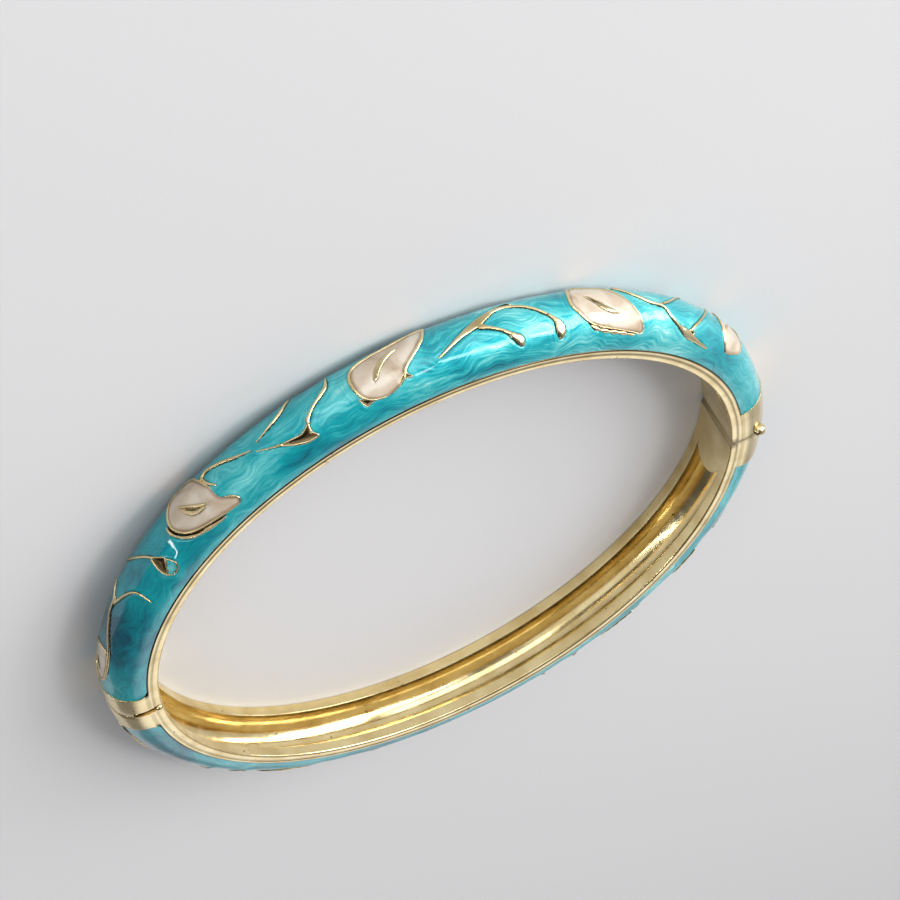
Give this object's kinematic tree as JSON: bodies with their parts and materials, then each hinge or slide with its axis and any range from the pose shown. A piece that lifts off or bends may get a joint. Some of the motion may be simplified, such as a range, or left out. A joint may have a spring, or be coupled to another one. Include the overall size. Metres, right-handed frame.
{
  "type": "hinged enamel bangle bracelet",
  "caption": "Closed bangle of two hinged half rings, with turquoise enamel and cream petals set between raised gold lines, a pinned hinge and a spring tongue clasp.",
  "frame": {"origin": "centre of the ring, on the plane that it lies on", "axes": "+Z along the ring's axis, up from the rim it lies on; the hinge is at -X, the clasp at +X, and the front half lies towards -Y"},
  "size_m": [0.0692, 0.0692, 0.0065],
  "materials": {
    "plated_metal": "polished pale gold plating",
    "pin_metal": "polished gold plating",
    "spring_metal": "polished gold plating",
    "turquoise_enamel": "glossy pearlescent turquoise enamel",
    "cream_enamel": "glossy cream enamel"
  },
  "bodies": {
    "front_half": {"front_band": "plated_metal", "front_enamel": "turquoise_enamel", "hinge_pin": "pin_metal", "front_petal_1": "cream_enamel", "front_petal_2": "cream_enamel", "front_petal_3": "cream_enamel", "front_petal_4": "cream_enamel", "front_petal_5": "cream_enamel"},
    "rear_half": {"rear_band": "plated_metal", "rear_enamel": "turquoise_enamel", "clasp_tongue": "spring_metal", "rear_petal_1": "cream_enamel", "rear_petal_2": "cream_enamel", "rear_petal_3": "cream_enamel", "rear_petal_4": "cream_enamel", "rear_petal_5": "cream_enamel"}
  },
  "joints": [
    {"name": "hinge", "type": "hinge", "parent": "front_half", "child": "rear_half", "pos_m": [-0.0332, 0, 0.0031], "axis": [0, 0, 1], "range_deg": [0, 50]}
  ]
}
